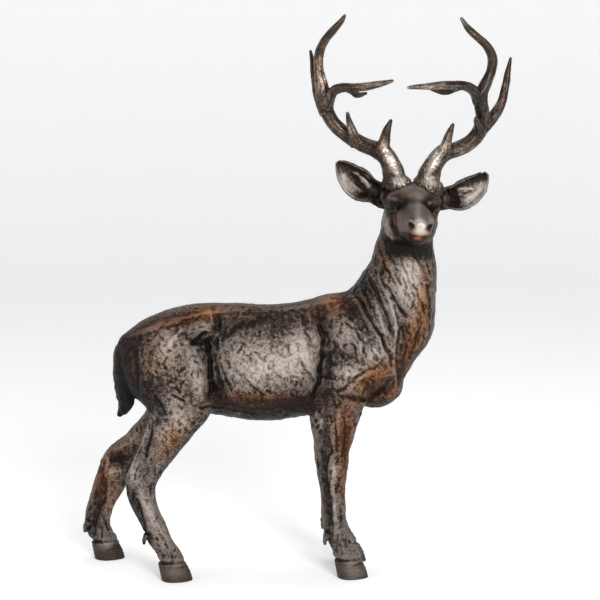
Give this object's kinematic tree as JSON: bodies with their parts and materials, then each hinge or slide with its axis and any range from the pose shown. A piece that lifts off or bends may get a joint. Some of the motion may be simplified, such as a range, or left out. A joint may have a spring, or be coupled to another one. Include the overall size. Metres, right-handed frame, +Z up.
{
  "type": "stag statue",
  "caption": "Standing stag statue with its head turned to its right side and two branching antlers, on its own hooves, in a dark bronze finish.",
  "frame": {"origin": "on the floor, below the middle of the whole figure's bounding box", "axes": "+X from the rump towards the chest, +Y towards the stag's left side, +Z up; the head is turned to its right and looks along -Y"},
  "size_m": [0.6178, 0.1774, 0.7933],
  "materials": {
    "bronze_body": "dark brown patina, rubbed silver on high points, rust brown in places",
    "bronze_antler": "brown patina, rubbed bright near the skull and on the ridges"
  },
  "bodies": {
    "root": {"stag_body": "bronze_body", "antler_right": "bronze_antler", "antler_left": "bronze_antler"}
  },
  "joints": []
}
